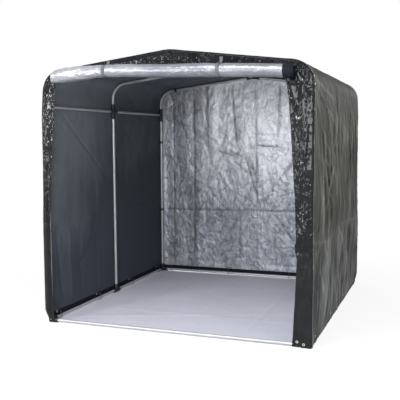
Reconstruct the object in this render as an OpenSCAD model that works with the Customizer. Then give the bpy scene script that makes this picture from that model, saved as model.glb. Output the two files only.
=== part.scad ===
// Bicycle shelter: a tube frame of three hoops with moulded fittings, and a fabric cover with a roll-up door.
// X runs across the door, Y from the door to the back wall, Z up. The origin is on the ground, mid frame.

/* [Frame] */
// Distance between the left and the right uprights, centre to centre
frame_w = 2140; // [1500:10:2600]
// Distance from one hoop to the next, centre to centre
bay_l = 1145; // [800:5:1500]
// Height at which the centre lines of the two roof bows meet
ridge_z = 2140; // [1700:10:2600]
// Slope of the roof, in degrees
roof_pitch = 7; // [4:1:12]
// Bend radius at the eaves, to the tube's centre line
bend_r = 150; // [100:5:200]
// Straight tube between the side rail and the start of the bend
rail_drop = 116; // [90:2:180]
// Outer diameter of every frame tube
tube_d = 25; // [19:1:32]

/* [Fittings] */
// Wall of a moulded socket
sleeve_wall = 4.3; // [3:0.1:6]
// Gap between a tube and its socket, on the radius
socket_clear = 0.2; // [0.1:0.05:0.4]
// Length of a horizontal socket, from the fitting's centre
arm_l = 60; // [45:1:90]
// Length of a socket along an upright at the eaves, from the fitting's centre
eave_arm_l = 70; // [50:1:85]
// Height of the bead round each socket's mouth
bead_h = 1.5; // [0.5:0.5:3]
// Length of that bead
bead_l = 9; // [5:1:15]
// Thickness of the flat sole under a foot fitting
sole_t = 2.5; // [2:0.5:5]

/* [Cover] */
// Thickness of the cover
cover_t = 3; // [1:0.5:5]
// Gap between the cover and the widest fitting
cover_clear = 0.5; // [0.3:0.1:1]
// Height of the black band along the foot of the walls
hem_h = 48; // [45:1:90]
// Thickness of the groundsheet
sheet_t = 2; // [1:0.5:3]
// How far the groundsheet reaches past the centre lines of the tubes on the ground
sheet_reach = 16; // [0:1:18]
// Height of the fascia's lower edge under the eave corner, where the door hangs
door_head_drop = 44; // [30:2:80]
// Width of the left front flap at its top, waist and foot
left_flap_w = [125, 50, 62]; // [40:1:200]
// Width of the right front flap at its top, waist and foot
right_flap_w = [190, 116, 142]; // [40:1:240]
// Height of the flaps' waist
flap_waist_z = 620; // [400:10:900]
// Height of the flaps' lower edge
flap_low_z = 6; // [3:1:20]

/* [Door] */
// Diameter of the rolled-up door
roll_d = 92; // [70:1:120]
// From the left and the right face of the cover to the silver stretch of the roll
roll_inset = [142, 220]; // [120:1:300]
// Length of the dark zip band at each end of the roll
roll_end_l = 70; // [40:1:80]
// Distance between the two straps that hold the roll
strap_gap = 897; // [500:1:1100]
// Width of a strap
strap_w = 25; // [15:1:50]
// Thickness of a strap
strap_t = 2; // [1:0.5:3]

/* [Ties] */
// Diameter of the elastic cord of a ball tie
cord_d = 3.6; // [2:0.1:4]
// Diameter of a ball
ball_d = 24; // [16:1:30]
// Distance between two ball ties along the foot of a wall
tie_pitch = 680; // [400:10:700]
// Distance from a corner's centre to the first tie along a side wall, and along the back wall
first_tie = [107, 112]; // [95:1:200]
// Outer diameter of an eyelet
eyelet_d = 20; // [16:1:26]
// Inner diameter of an eyelet
eyelet_bore = 9.2; // [7:0.1:12]
// Distance of the left flap's eyelet from the outer corner, and its height
left_flap_eyelet = [26, 34]; // [20:1:60]
// Distances of the right flap's eyelets from the outer corner
right_eyelet_in = [60, 108]; // [20:1:130]
// Heights of the right flap's eyelets
right_eyelet_z = [28, 44]; // [20:1:60]
// Heights of the loops that tie the back wall to its uprights
upright_tie_z = [700, 1456]; // [300:1:1600]
// Distance of the loops on the back bows from the ridge
bow_tie_x = 889; // [150:1:900]

/* [Hidden] */
$fn = 48;
ARC_STEPS = 12;          // straight pieces in each shoulder of the fabric
END_GAP = 0.5;           // gap between a tube's end and the bottom of its socket
TOUCH = 0.5;             // gap between soft pieces that lie on each other
CORNER_FREE = 90;        // no tie comes nearer than this to a corner's centre
WEB = 10;                // wall between the two tube ends inside an eave or ridge fitting
LOOP_GAP = 0.7;          // the loop of a ball tie passes this far over the groundsheet
EYELET_RIM = 0.4;        // height of an eyelet's rim above the fabric
EYELET_WALL = 1.2;       // wall of the barrel of an eyelet
BALL_ANGLE = 58;         // how far round its loop a ball sits, up from the horizontal
LAP = 1;                 // overlap that joins the straight and the bent stretches of a bow
BEND_SWELL = 0.1;        // a bend is this much wider than the tube

half_w = frame_w / 2;
half_l = bay_l;
tube_r = tube_d / 2;
bore_d = tube_d + 2 * socket_clear;
sleeve_d = bore_d + 2 * sleeve_wall;
bead_d = sleeve_d + 2 * bead_h;
tube_stop = bore_d / 2 + 3.3;          // from a fitting's centre to the bottom of a side socket
base_z = sleeve_d / 2 + sole_t;        // centre line of the tubes on the ground

// Heights that two pieces share are kept to a tenth of a millimetre
function tenth(value) = round(10 * value) / 10;
eave_z = ridge_z - half_w * tan(roof_pitch);
bend_tangent = bend_r * tan((90 - roof_pitch) / 2);
bend_z = tenth(eave_z - bend_tangent); // where the bend starts
rail_z = bend_z - rail_drop;
bow_end_x = -half_w + bend_tangent * cos(roof_pitch);   // where the bend ends
slope_l = -bow_end_x / cos(roof_pitch);                 // straight stretch up to the ridge

cover_gap = bead_d / 2 + cover_clear;   // from a tube's centre line to the cover's inner face
cover_out = cover_gap + cover_t;       // and to its outer face
front_y = -(half_l + cover_out);       // outer face of the front

loop_r = cover_out + 8.5;
loop_z = sheet_t + LOOP_GAP + cord_d / 2 + loop_r;
eyelet_z = tenth(loop_z + sqrt(pow(loop_r, 2) - pow(cover_gap + cover_t / 2, 2)));
hem_low = tenth(loop_z - sqrt(pow(loop_r, 2) - pow(cover_out, 2)) + cord_d);
hem_top = hem_low + hem_h;
side_tie_y = [for (y = [first_tie[0] - half_l : tie_pitch : half_l - CORNER_FREE]) y];
back_tie_x = [for (x = [first_tie[1] - half_w : tie_pitch : half_w - CORNER_FREE]) x];

door_head_z = eave_z - door_head_drop;
roll_l = frame_w + 2 * cover_out - roll_inset[0] - roll_inset[1];
roll_x = (roll_inset[0] - roll_inset[1]) / 2;
strap_x = roll_x + 10;
roll_y = front_y - roll_d / 2 - strap_t - 2 * TOUCH;
roll_z = door_head_z + 28;

HOOPS = ["front", "middle", "back"];
SIDES = ["left", "right"];

function side_sign(side) = side == "left" ? -1 : 1;
function hoop_y(hoop) = hoop == "front" ? -half_l : hoop == "back" ? half_l : 0;
// Directions along Y in which a hoop has a neighbour
function neighbours(hoop) = hoop == "front" ? [1] : hoop == "back" ? [-1] : [-1, 1];

// Outline of a hoop in X and Z, at a distance off outside its centre line, from z_low upwards
function shoulder(off) = [for (i = [0 : ARC_STEPS])
    let (a = 180 - i * (90 - roof_pitch) / ARC_STEPS)
    [-half_w + bend_r + (bend_r + off) * cos(a), bend_z + (bend_r + off) * sin(a)]];
function mirrored(points) = [for (i = [len(points) - 1 : -1 : 0]) [-points[i][0], points[i][1]]];
function hoop_line(off) = concat(shoulder(off), [[0, ridge_z + off / cos(roof_pitch)]],
    mirrored(shoulder(off)));
function hoop_area(off, z_low) = concat([[-half_w - off, z_low]], hoop_line(off),
    [[half_w + off, z_low]]);
function reversed(points) = [for (i = [len(points) - 1 : -1 : 0]) points[i]];

// A 2D shape drawn in X and Z, standing from y to y + depth
module standing(y, depth) {
    translate([0, y + depth, 0]) rotate([90, 0, 0]) linear_extrude(depth) children();
}

module tube(length) {
    color("silver") cylinder(d = tube_d, h = length);
}

// Turns what points up Z so that it points along +Y or -Y
module toward_y(sign) {
    rotate([-90 * sign, 0, 0]) children();
}

// Turns what points up Z so that it points along +X or -X
module toward_x(sign) {
    rotate([0, 90 * sign, 0]) children();
}

// Turns what points up Z so that it points down the slope, away from the ridge
module down_slope(sign) {
    rotate([0, (90 + roof_pitch) * sign, 0]) children();
}

// ---- frame ----

module base_tube_across(y) {
    translate([-half_w + tube_stop + END_GAP, y, base_z])
        toward_x(1) tube(frame_w - 2 * (tube_stop + END_GAP));
}

// The two tubes that fill the bays behind a height and a place across
module bay_tubes(x, z) {
    for (y = [-half_l, 0])
        translate([x, y + tube_stop + END_GAP, z]) toward_y(1) tube(bay_l - 2 * (tube_stop + END_GAP));
}

module upright(hoop, side) {
    low = base_z + tube_stop + END_GAP;
    translate([side_sign(side) * half_w, hoop_y(hoop), low]) tube(rail_z - WEB / 2 - END_GAP - low);
}

module left_roof_bow() {
    low = rail_z + WEB / 2 + END_GAP;
    color("silver") union() {
        translate([-half_w, 0, low]) cylinder(d = tube_d, h = bend_z + LAP - low);
        translate([-half_w + bend_r, 0, bend_z]) rotate([90, 0, 0]) rotate([0, 0, 90 + roof_pitch])
            rotate_extrude(angle = 90 - roof_pitch) translate([bend_r, 0])
                circle(d = tube_d + BEND_SWELL);
        translate([0, 0, ridge_z]) down_slope(-1) translate([0, 0, WEB / 2 + END_GAP])
            cylinder(d = tube_d, h = slope_l + LAP - WEB / 2 - END_GAP);
    }
}

module roof_bow(hoop, side) {
    translate([0, hoop_y(hoop), 0]) mirror([side == "left" ? 0 : 1, 0, 0]) left_roof_bow();
}

// ---- fittings ----

// A socket that starts at a fitting's centre and points up Z, with a bead round its mouth
module socket_body(length) {
    cylinder(d = sleeve_d, h = length);
    translate([0, 0, length - bead_l]) cylinder(d = bead_d, h = bead_l);
}

// A foot: a socket for the upright, and a flat-soled one for each tube on the ground
module foot(hoop, side) {
    inward = -side_sign(side);
    sole_w = sleeve_d * 0.76;
    translate([side_sign(side) * half_w, hoop_y(hoop), 0]) color("dimgray") difference() {
        union() {
            socket_body(base_z + arm_l);
            for (s = neighbours(hoop)) {
                translate([0, 0, base_z]) toward_y(s) socket_body(arm_l);
                translate([-sole_w / 2, s > 0 ? 0 : -arm_l, 0]) cube([sole_w, arm_l, base_z]);
            }
            if (hoop != "middle") {
                translate([0, 0, base_z]) toward_x(inward) socket_body(arm_l);
                translate([inward > 0 ? 0 : -arm_l, -sole_w / 2, 0]) cube([arm_l, sole_w, base_z]);
            }
        }
        translate([0, 0, base_z + tube_stop]) cylinder(d = bore_d, h = arm_l);
        for (s = neighbours(hoop))
            translate([0, 0, base_z]) toward_y(s) translate([0, 0, tube_stop])
                cylinder(d = bore_d, h = arm_l);
        if (hoop != "middle")
            translate([0, 0, base_z]) toward_x(inward) translate([0, 0, tube_stop])
                cylinder(d = bore_d, h = arm_l);
    }
}

// An eave fitting: two sockets for the upright and the bow, and one for each side rail
module eave_joint(hoop, side) {
    translate([side_sign(side) * half_w, hoop_y(hoop), rail_z]) color("dimgray") difference() {
        union() {
            for (up = [0, 1]) mirror([0, 0, 1 - up]) socket_body(eave_arm_l);
            for (s = neighbours(hoop)) toward_y(s) socket_body(arm_l);
        }
        for (up = [0, 1]) mirror([0, 0, 1 - up]) translate([0, 0, WEB / 2])
            cylinder(d = bore_d, h = eave_arm_l);
        for (s = neighbours(hoop)) toward_y(s) translate([0, 0, tube_stop])
            cylinder(d = bore_d, h = arm_l);
    }
}

// A ridge fitting: a hub along the ridge, two sockets down the slopes and one for each ridge rail
module ridge_joint(hoop) {
    translate([0, hoop_y(hoop), ridge_z]) color("dimgray") difference() {
        union() {
            translate([0, -bead_d / 2, 0]) toward_y(1) cylinder(d = bead_d, h = bead_d);
            for (s = [-1, 1]) down_slope(s) socket_body(eave_arm_l);
            for (s = neighbours(hoop)) toward_y(s) socket_body(arm_l);
        }
        for (s = [-1, 1]) down_slope(s) translate([0, 0, WEB / 2]) cylinder(d = bore_d, h = eave_arm_l);
        for (s = neighbours(hoop)) toward_y(s) translate([0, 0, tube_stop])
            cylinder(d = bore_d, h = arm_l);
    }
}

// ---- cover ----

// A flat sheet that runs on under the tubes, cut out round the feet
module groundsheet() {
    w = frame_w + 2 * sheet_reach;
    l = 2 * (half_l + sheet_reach);
    cut = sleeve_d / 2 + TOUCH;
    color("lavender") difference() {
        translate([-w / 2, -l / 2, 0]) cube([w, l, sheet_t]);
        for (hoop = HOOPS, side = SIDES) translate([side_sign(side) * half_w, hoop_y(hoop), -1]) {
            translate([-cut, -cut, 0]) cube([2 * cut, 2 * cut, sheet_t + 2]);
            for (s = neighbours(hoop)) translate([-cut, s > 0 ? 0 : -arm_l - TOUCH, 0])
                cube([2 * cut, arm_l + TOUCH, sheet_t + 2]);
            if (hoop != "middle") translate([side == "left" ? 0 : -arm_l - TOUCH, -cut, 0])
                cube([arm_l + TOUCH, 2 * cut, sheet_t + 2]);
        }
    }
}

module side_wall(side) {
    x = side == "left" ? -half_w - cover_out : half_w + cover_gap;
    color("darkslategray") translate([x, -half_l - cover_gap, hem_top])
        cube([cover_t, 2 * (half_l + cover_gap), bend_z - hem_top]);
}

module back_wall() {
    color("lightgray") standing(half_l + cover_gap, cover_t)
        polygon(hoop_area(cover_out, hem_top));
}

module roof_cover() {
    color("darkslategray") standing(-half_l - cover_gap, 2 * (half_l + cover_gap))
        polygon(concat(hoop_line(cover_out), reversed(hoop_line(cover_gap))));
}

module eyelet_hole() {
    cylinder(d = eyelet_bore + 2 * EYELET_WALL + 0.2, h = 4 * cover_t, center = true);
}

// The black band along the foot of the walls, with a hole for each ball tie
module wall_hems() {
    color("black") {
        for (s = [-1, 1]) difference() {
            translate([s > 0 ? half_w + cover_gap : -half_w - cover_out, -half_l - cover_gap, hem_low])
                cube([cover_t, 2 * (half_l + cover_gap), hem_h]);
            for (y = side_tie_y)
                translate([s * (half_w + cover_gap + cover_t / 2), y, eyelet_z])
                    toward_x(1) eyelet_hole();
        }
        difference() {
            translate([-half_w - cover_gap, half_l + cover_gap, hem_low])
                cube([2 * (half_w + cover_gap), cover_t, hem_h]);
            for (x = back_tie_x)
                translate([x, half_l + cover_gap + cover_t / 2, eyelet_z]) toward_y(1) eyelet_hole();
        }
    }
}

module front_gable() {
    color("black") intersection() {
        standing(front_y, cover_t) polygon(hoop_area(cover_out, bend_z));
        translate([-frame_w, front_y - 1, door_head_z]) cube([2 * frame_w, cover_t + 2, ridge_z]);
    }
}

// Places of the eyelets in the flaps, as [x, z]
function flap_eyelets(side) = side == "left"
    ? [[-half_w - cover_out + left_flap_eyelet[0], left_flap_eyelet[1]]]
    : [for (i = [0, 1]) [half_w + cover_out - right_eyelet_in[i], right_eyelet_z[i]]];

module flap(side) {
    w = side == "left" ? left_flap_w : right_flap_w;
    edge = half_w + cover_out;
    color("black") difference() {
        intersection() {
            standing(front_y, cover_t) polygon(hoop_area(cover_out, flap_low_z));
            mirror([side == "left" ? 1 : 0, 0, 0]) standing(front_y - 1, cover_t + 2) polygon([
                [edge - w[2], 0], [edge + 1, 0], [edge + 1, door_head_z],
                [edge - w[0], door_head_z], [edge - w[1], flap_waist_z]
            ]);
        }
        for (p = flap_eyelets(side))
            translate([p[0], front_y + cover_t / 2, p[1]]) toward_y(1) eyelet_hole();
    }
}

// ---- door ----

module rolled_door() {
    translate([roll_x, roll_y, roll_z]) toward_x(1) {
        color("gainsboro") cylinder(d = roll_d, h = roll_l, center = true);
        color("black") cylinder(d = roll_d - 4, h = roll_l + 2 * roll_end_l, center = true);
    }
}

// A band around the roll, with a tab up the fascia
module door_straps() {
    inner = roll_d / 2 + TOUCH;
    for (s = [-1, 1]) {
        x = strap_x + s * strap_gap / 2;
        top = ridge_z + cover_gap / cos(roof_pitch) - abs(x) * tan(roof_pitch) - strap_w / 2;
        color("dimgray") union() {
            translate([x, roll_y, roll_z]) toward_x(1) difference() {
                cylinder(r = inner + strap_t, h = strap_w, center = true);
                cylinder(r = inner, h = strap_w + 2, center = true);
            }
            translate([x - strap_w / 2, front_y - TOUCH - strap_t, roll_z])
                cube([strap_w, strap_t, top - roll_z]);
        }
    }
}

// ---- ties and eyelets ----

// An elastic loop around a tube on the ground, in X and Z, with its ball on the +X side
module ball_tie() {
    half_angle = 2 * asin((ball_d / 2 + TOUCH) / (2 * loop_r));
    translate([0, 0, loop_z]) rotate([0, -BALL_ANGLE, 0]) {
        color("black") rotate([90, 0, 0]) rotate([0, 0, half_angle])
            rotate_extrude(angle = 360 - 2 * half_angle) translate([loop_r, 0]) circle(d = cord_d);
        color("white") translate([loop_r, 0, 0]) sphere(d = ball_d);
    }
}

// A loop sewn to the back wall around a tube that stands up Z
module frame_tie() {
    inner = tube_r + 0.3;
    color("black") difference() {
        union() {
            cylinder(r = inner + strap_t, h = strap_w, center = true);
            translate([-strap_t / 2, 0, -strap_w / 2]) cube([strap_t, cover_gap - TOUCH, strap_w]);
        }
        cylinder(r = inner, h = strap_w + 2, center = true);
    }
}

module cover_ties() {
    for (s = [-1, 1]) {
        for (y = side_tie_y)
            translate([s * half_w, y, 0]) mirror([s > 0 ? 1 : 0, 0, 0]) ball_tie();
        for (z = upright_tie_z) translate([s * half_w, half_l, z]) frame_tie();
        translate([s * bow_tie_x, half_l, ridge_z - bow_tie_x * tan(roof_pitch)])
            rotate([0, s * (90 + roof_pitch), 0]) frame_tie();
    }
    for (x = back_tie_x) translate([x, half_l, 0]) rotate([0, 0, -90]) ball_tie();
}

// A metal ring pressed through the fabric, along Z
module eyelet() {
    barrel_d = eyelet_bore + 2 * EYELET_WALL;
    color("silver") difference() {
        union() {
            cylinder(d = barrel_d, h = cover_t + 2 * EYELET_RIM, center = true);
            for (s = [-1, 1]) translate([0, 0, s * (cover_t + EYELET_RIM) / 2])
                cylinder(d = eyelet_d, h = EYELET_RIM, center = true);
        }
        cylinder(d = eyelet_bore, h = 4 * cover_t, center = true);
    }
}

module eyelets() {
    wall_x = half_w + cover_gap + cover_t / 2;
    for (s = [-1, 1], y = side_tie_y) translate([s * wall_x, y, eyelet_z]) toward_x(1) eyelet();
    for (x = back_tie_x)
        translate([x, half_l + cover_gap + cover_t / 2, eyelet_z]) toward_y(1) eyelet();
    for (side = SIDES, p = flap_eyelets(side))
        translate([p[0], front_y + cover_t / 2, p[1]]) toward_y(1) eyelet();
}

// ---- what is drawn ----

groundsheet();
base_tube_across(-half_l);  // front_base_tube
base_tube_across(half_l);  // back_base_tube
for (s = [-1, 1]) bay_tubes(s * half_w, base_z);  // side_base_tubes
for (hoop = HOOPS, side = SIDES) {
    foot(hoop, side);
    upright(hoop, side);
    eave_joint(hoop, side);
    roof_bow(hoop, side);
}
for (hoop = HOOPS) ridge_joint(hoop);
for (s = [-1, 1]) bay_tubes(s * half_w, rail_z);  // side_rails
bay_tubes(0, ridge_z);  // ridge_rails
side_wall("left");  // left_wall
side_wall("right");  // right_wall
back_wall();
roof_cover();
wall_hems();
front_gable();
flap("left");  // left_flap
flap("right");  // right_flap
rolled_door();
door_straps();
cover_ties();
eyelets();
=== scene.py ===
import math
import bpy
import numpy as np
from mathutils import Matrix, Vector


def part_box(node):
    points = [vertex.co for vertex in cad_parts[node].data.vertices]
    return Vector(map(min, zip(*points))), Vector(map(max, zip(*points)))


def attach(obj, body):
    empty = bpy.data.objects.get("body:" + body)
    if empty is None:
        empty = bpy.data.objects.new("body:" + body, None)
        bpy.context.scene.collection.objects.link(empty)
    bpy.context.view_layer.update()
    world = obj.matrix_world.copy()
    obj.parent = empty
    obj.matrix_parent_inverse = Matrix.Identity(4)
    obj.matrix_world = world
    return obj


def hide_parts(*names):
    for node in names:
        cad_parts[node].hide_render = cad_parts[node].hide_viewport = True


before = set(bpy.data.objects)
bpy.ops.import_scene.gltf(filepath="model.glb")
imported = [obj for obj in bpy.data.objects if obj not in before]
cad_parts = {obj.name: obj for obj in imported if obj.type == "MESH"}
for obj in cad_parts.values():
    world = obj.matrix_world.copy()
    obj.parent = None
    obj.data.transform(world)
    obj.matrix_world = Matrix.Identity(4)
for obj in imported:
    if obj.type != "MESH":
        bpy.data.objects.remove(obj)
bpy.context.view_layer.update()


# Frame tubes: steel tube with a light grey powder coat, cut to length and pushed
# into the moulded fittings. Their solids are right as packed and get their finish here.
class Wire:
    """One output of a shader node. Sums on it add Math nodes; node() adds any other kind."""

    def __init__(self, socket):
        self.socket = socket

    def node(self, kind, settings=None, out=0, **inputs):
        tree = self.socket.id_data
        made = tree.nodes.new("ShaderNode" + kind)
        for name, value in (settings or {}).items():
            if name != "stops":
                setattr(made, name, value)
                continue
            while len(made.color_ramp.elements) < len(value):
                made.color_ramp.elements.new(0.5)
            for element, (place, level) in zip(made.color_ramp.elements, value):
                element.position = place
                element.color = (level, level, level, 1)
        for name, value in inputs.items():
            socket = made.inputs[int(name[1:])] if name[1:].isdigit() else made.inputs[name]
            if isinstance(value, Wire):
                tree.links.new(value.socket, socket)
            else:
                socket.default_value = value
        return Wire(made.outputs[out])

    def math(self, operation, first, second=0.0):
        return self.node("Math", {"operation": operation}, _0=first, _1=second)

    def __add__(self, other):
        return self.math("ADD", self, other)

    def __mul__(self, other):
        return self.math("MULTIPLY", self, other)

    def __sub__(self, other):
        return self.math("SUBTRACT", self, other)

    def __rsub__(self, other):
        return self.math("SUBTRACT", other, self)

    __radd__ = __add__
    __rmul__ = __mul__

    def stretched(self, x, y, z):
        return self.node("VectorMath", {"operation": "MULTIPLY"}, _0=self, _1=(x, y, z))

    def noise(self, scale, detail=3.0, roughness=0.5, kind="FBM", warp=0.0):
        return self.node("TexNoise", {"noise_type": kind}, Vector=self, Scale=scale, Detail=detail,
                         Roughness=roughness, Distortion=warp)

    def fold_lines(self, across, along, warp, thin=9.0, detail=3.0):
        """Thin lines, 0 to 1, that wander along the cloth and cross now and then."""
        level = self.stretched(across, along, 1).noise(1, detail, 0.55, warp=warp) - 0.5
        return (1 - level.math("ABSOLUTE", level) * thin).ramp((0, 0), (1, 1))

    def stored(self, name):
        """A value that the mesh carries on its points."""
        return self.node("Attribute", {"attribute_name": name}, 2)

    def axis(self, which):
        """One coordinate of a place: 0, 1 or 2."""
        return self.node("SeparateXYZ", None, which, Vector=self)

    def between(self, start, end, tone=0.0, end_tone=1.0, kind="LINEAR"):
        """Goes from one tone to the other as the value goes from start to end."""
        return self.node("MapRange", {"interpolation_type": kind}, _0=self, _1=start, _2=end, _3=tone,
                         _4=end_tone)

    def ramp(self, *stops):
        return self.node("ValToRGB", {"stops": stops}, Fac=self)

    def tint(self, low, high, blend="MIX"):
        """From one colour to another; low may also be a wire."""
        low = low if isinstance(low, Wire) else (*low, 1)
        settings = {"data_type": "RGBA", "blend_type": blend}
        return self.node("Mix", settings, out=2, _0=self, _6=low, _7=(*high, 1))


class Finish:
    """A material with one Principled shader. where() gives coordinates in metres."""

    def __init__(self, name, **constants):
        self.material = bpy.data.materials.new(name)
        self.material.use_nodes = True
        tree = self.material.node_tree
        tree.nodes.clear()
        self.shader = tree.nodes.new("ShaderNodeBsdfPrincipled")
        output = tree.nodes.new("ShaderNodeOutputMaterial")
        tree.links.new(self.shader.outputs[0], output.inputs["Surface"])
        self.coordinates = tree.nodes.new("ShaderNodeTexCoord")
        for socket, value in constants.items():
            self.shader.inputs[socket.replace("_", " ")].default_value = value

    def where(self, kind="Object"):
        return Wire(self.coordinates.outputs[kind])

    def feed(self, socket, wire):
        self.material.node_tree.links.new(wire.socket, self.shader.inputs[socket])

    def bump(self, height, strength, distance):
        self.feed("Normal", height.node("Bump", Strength=strength, Distance=distance, Height=height))


steel = Finish("powder_coat", Metallic=0.35, Coat_Weight=0.15, Coat_Roughness=0.25)
place = steel.where()
cloudy = place.noise(9, 4)
specks = place.noise(700, 2)
scuffs = place.stretched(1, 1, 0.25).noise(60, 5, 0.6).ramp((0.60, 0), (0.72, 1))
steel.feed("Base Color", (cloudy + scuffs * 0.4).tint((0.33, 0.34, 0.36), (0.47, 0.48, 0.49)))
steel.feed("Roughness", scuffs * 0.15 + cloudy * 0.12 + 0.30)
steel.bump(specks + cloudy * 0.5, 0.12, 0.0006)


def give(finish, *nodes):
    """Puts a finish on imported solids, which keep their shape."""
    for node in nodes:
        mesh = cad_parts[node].data
        mesh.materials.clear()
        mesh.materials.append(finish.material)
        mesh.polygons.foreach_set("material_index", np.zeros(len(mesh.polygons), np.int32))


hoops = [f"{hoop}_{side}" for hoop in ("front", "middle", "back") for side in ("left", "right")]
give(steel, "front_base_tube", "back_base_tube", "side_base_tubes", "side_rails", "ridge_rails")
give(steel, *[f"{hoop}_upright" for hoop in hoops], *[f"{hoop}_roof_bow" for hoop in hoops])


# Fittings: feet, eave joints and ridge joints, moulded in black plastic with a spark
# texture, and a bead round each socket. The tubes push in up to a stop.
moulded = Finish("moulded_plastic", Specular_IOR_Level=0.45)
place = moulded.where()
spark = place.noise(900, 3, 0.6)
flow = place.noise(25, 3)
moulded.feed("Base Color", flow.tint((0.006, 0.007, 0.009), (0.018, 0.019, 0.022)))
moulded.feed("Roughness", flow * 0.2 + spark * 0.15 + 0.33)
moulded.bump(spark + flow * 0.6, 0.25, 0.0008)
give(moulded, *[f"{hoop}_foot" for hoop in hoops], *[f"{hoop}_eave_joint" for hoop in hoops])
give(moulded, "front_ridge_joint", "middle_ridge_joint", "back_ridge_joint")


# Groundsheet: pale woven plastic sheet that runs on under the tubes on the ground.
# It lies flat but for the creases it was folded along and a few soft waves.
def noise_table(size=256, seed=11):
    angles = np.random.default_rng(seed).uniform(0, 2 * np.pi, (size, size))
    return np.cos(angles), np.sin(angles)


NOISE_X, NOISE_Y = noise_table()


def swell(u, v, turn=0.0, shift=0.0):
    """Smooth noise in about -1 to 1, one wave or so per unit, on arrays of points."""
    c, s = math.cos(turn), math.sin(turn)
    u, v = c * u - s * v + 17.3 + shift, s * u + c * v + 41.9 - 2.7 * shift
    iu, iv = np.floor(u).astype(int), np.floor(v).astype(int)
    fu, fv = u - iu, v - iv

    def corner(du, dv):
        a, b = (iu + du) % 256, (iv + dv) % 256
        return NOISE_X[a, b] * (fu - du) + NOISE_Y[a, b] * (fv - dv)

    su, sv = fu ** 3 * (fu * (fu * 6 - 15) + 10), fv ** 3 * (fv * (fv * 6 - 15) + 10)
    low = corner(0, 0) * (1 - su) + corner(1, 0) * su
    high = corner(0, 1) * (1 - su) + corner(1, 1) * su
    return 1.5 * (low * (1 - sv) + high * sv)


def crumple(u, v, octaves=3, turn=0.0, shift=0.0):
    """Noise with sharp ridges between flat facets, as cloth that was pressed small; 0 to 1."""
    total, weight = 0.0, 0.0
    for k in range(octaves):
        share = 0.55 ** k
        warp = 0.35 * swell(u * 2 ** k * 0.7, v * 2 ** k * 0.7, turn + 1.9, shift + 5 * k)
        wave = swell(u * 2 ** k + warp, v * 2 ** k - warp, turn + 0.8 * k, shift + 9 * k)
        total = total + share * (1 - np.abs(wave))
        weight += share
    return total / weight


def pinch(u, v, thin, turn=0.0, shift=0.0):
    """Thin raised lines round nearly flat facets; 0 to 1."""
    warp = 0.5 * swell(u * 0.6, v * 0.6, turn + 1.1, shift + 2.0)
    first = np.exp(-np.abs(swell(u + warp, v - warp, turn, shift)) / thin)
    second = np.exp(-np.abs(swell(u * 1.3 - warp, v * 1.3 + warp, turn + 0.9, shift + 7.0)) / thin)
    return np.maximum(first, 0.8 * second)


def creases(u, v, lines):
    """Sum of pressed folds. Each line is (u0, v0, u1, v1, height, width)."""
    total = np.zeros_like(u)
    for u0, v0, u1, v1, height, width in lines:
        du, dv = u1 - u0, v1 - v0
        along = ((u - u0) * du + (v - v0) * dv) / (du * du + dv * dv)
        held = np.clip(along, 0, 1)
        off = np.hypot(u - u0 - held * du, v - v0 - held * dv)
        ends = np.clip(1.15 - np.abs(2 * held - 1) ** 6, 0.15, 1)
        total += height * ends * np.exp(-off / width)
    return total


def smooth(x):
    """A soft step: 0 below 0, 1 above 1."""
    x = np.clip(x, 0, 1)
    return x * x * (3 - 2 * x)


def hump(x, width):
    """A soft hump of height 1 where x is 0."""
    return np.exp(-(x / width) ** 2)


def grid(name, layers, uvs, finishes, shading=None):
    """A cloth mesh from grids of points. Two layers are the cloth's faces, joined at its edges.
    The second finish goes on the second layer; shading gives the first layer's normals."""
    rows, cols = layers[0].shape[:2]
    one = rows * cols
    index = np.arange(one).reshape(rows, cols)
    quads = np.stack([index[:-1, :-1], index[:-1, 1:], index[1:, 1:], index[1:, :-1]], -1)
    quads = quads.reshape(-1, 4)
    faces, kinds = [quads], [np.zeros(len(quads), np.int32)]
    if len(layers) == 2:
        faces.append(quads[:, ::-1] + one)
        kinds.append(np.full(len(quads), 1 % len(finishes), np.int32))
        edge = np.concatenate([index[0], index[1:, -1], index[-1, -2::-1], index[-2::-1, 0]])[::-1]
        rim = np.stack([edge[:-1], edge[1:], edge[1:] + one, edge[:-1] + one], -1)
        faces.append(rim)
        kinds.append(np.zeros(len(rim), np.int32))
    faces, kinds = np.concatenate(faces), np.concatenate(kinds)
    points = np.concatenate([layer.reshape(-1, 3) for layer in layers])
    mesh = bpy.data.meshes.new(name)
    mesh.vertices.add(len(points))
    mesh.vertices.foreach_set("co", points.astype(np.float32).ravel())
    mesh.loops.add(faces.size)
    mesh.loops.foreach_set("vertex_index", faces.astype(np.int32).ravel())
    mesh.polygons.add(len(faces))
    mesh.polygons.foreach_set("loop_start", np.arange(0, faces.size, 4, dtype=np.int32))
    for finish in finishes:
        mesh.materials.append(finish.material)
    mesh.polygons.foreach_set("material_index", kinds)
    mesh.polygons.foreach_set("use_smooth", np.full(len(faces), True))
    flat = np.concatenate([uvs.reshape(-1, 2)] * len(layers))
    layer = mesh.uv_layers.new(name="cut")
    layer.data.foreach_set("uv", flat[faces.ravel()].astype(np.float32).ravel())
    mesh.update(calc_edges=True)
    mesh.validate()
    if shading is not None:
        both = np.concatenate([shading.reshape(-1, 3), -shading.reshape(-1, 3)])
        mesh.normals_split_custom_set_from_vertices(both)
    piece = bpy.data.objects.new(name, mesh)
    bpy.context.scene.collection.objects.link(piece)
    return piece


def store(piece, name, values):
    """Puts a value from 0 to 1 on the points of both layers, for the finish to read."""
    spot = piece.data.attributes.new(name, "FLOAT", "POINT")
    spot.data.foreach_set("value", np.tile(np.clip(values, 0, 1).ravel(), 2).astype(np.float32))


def normals(points):
    """Unit normals of a grid of points."""
    along_rows = np.gradient(points, axis=0)
    along_cols = np.gradient(points, axis=1)
    n = np.cross(along_cols, along_rows)
    return n / np.maximum(np.linalg.norm(n, axis=-1, keepdims=True), 1e-12)


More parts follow.
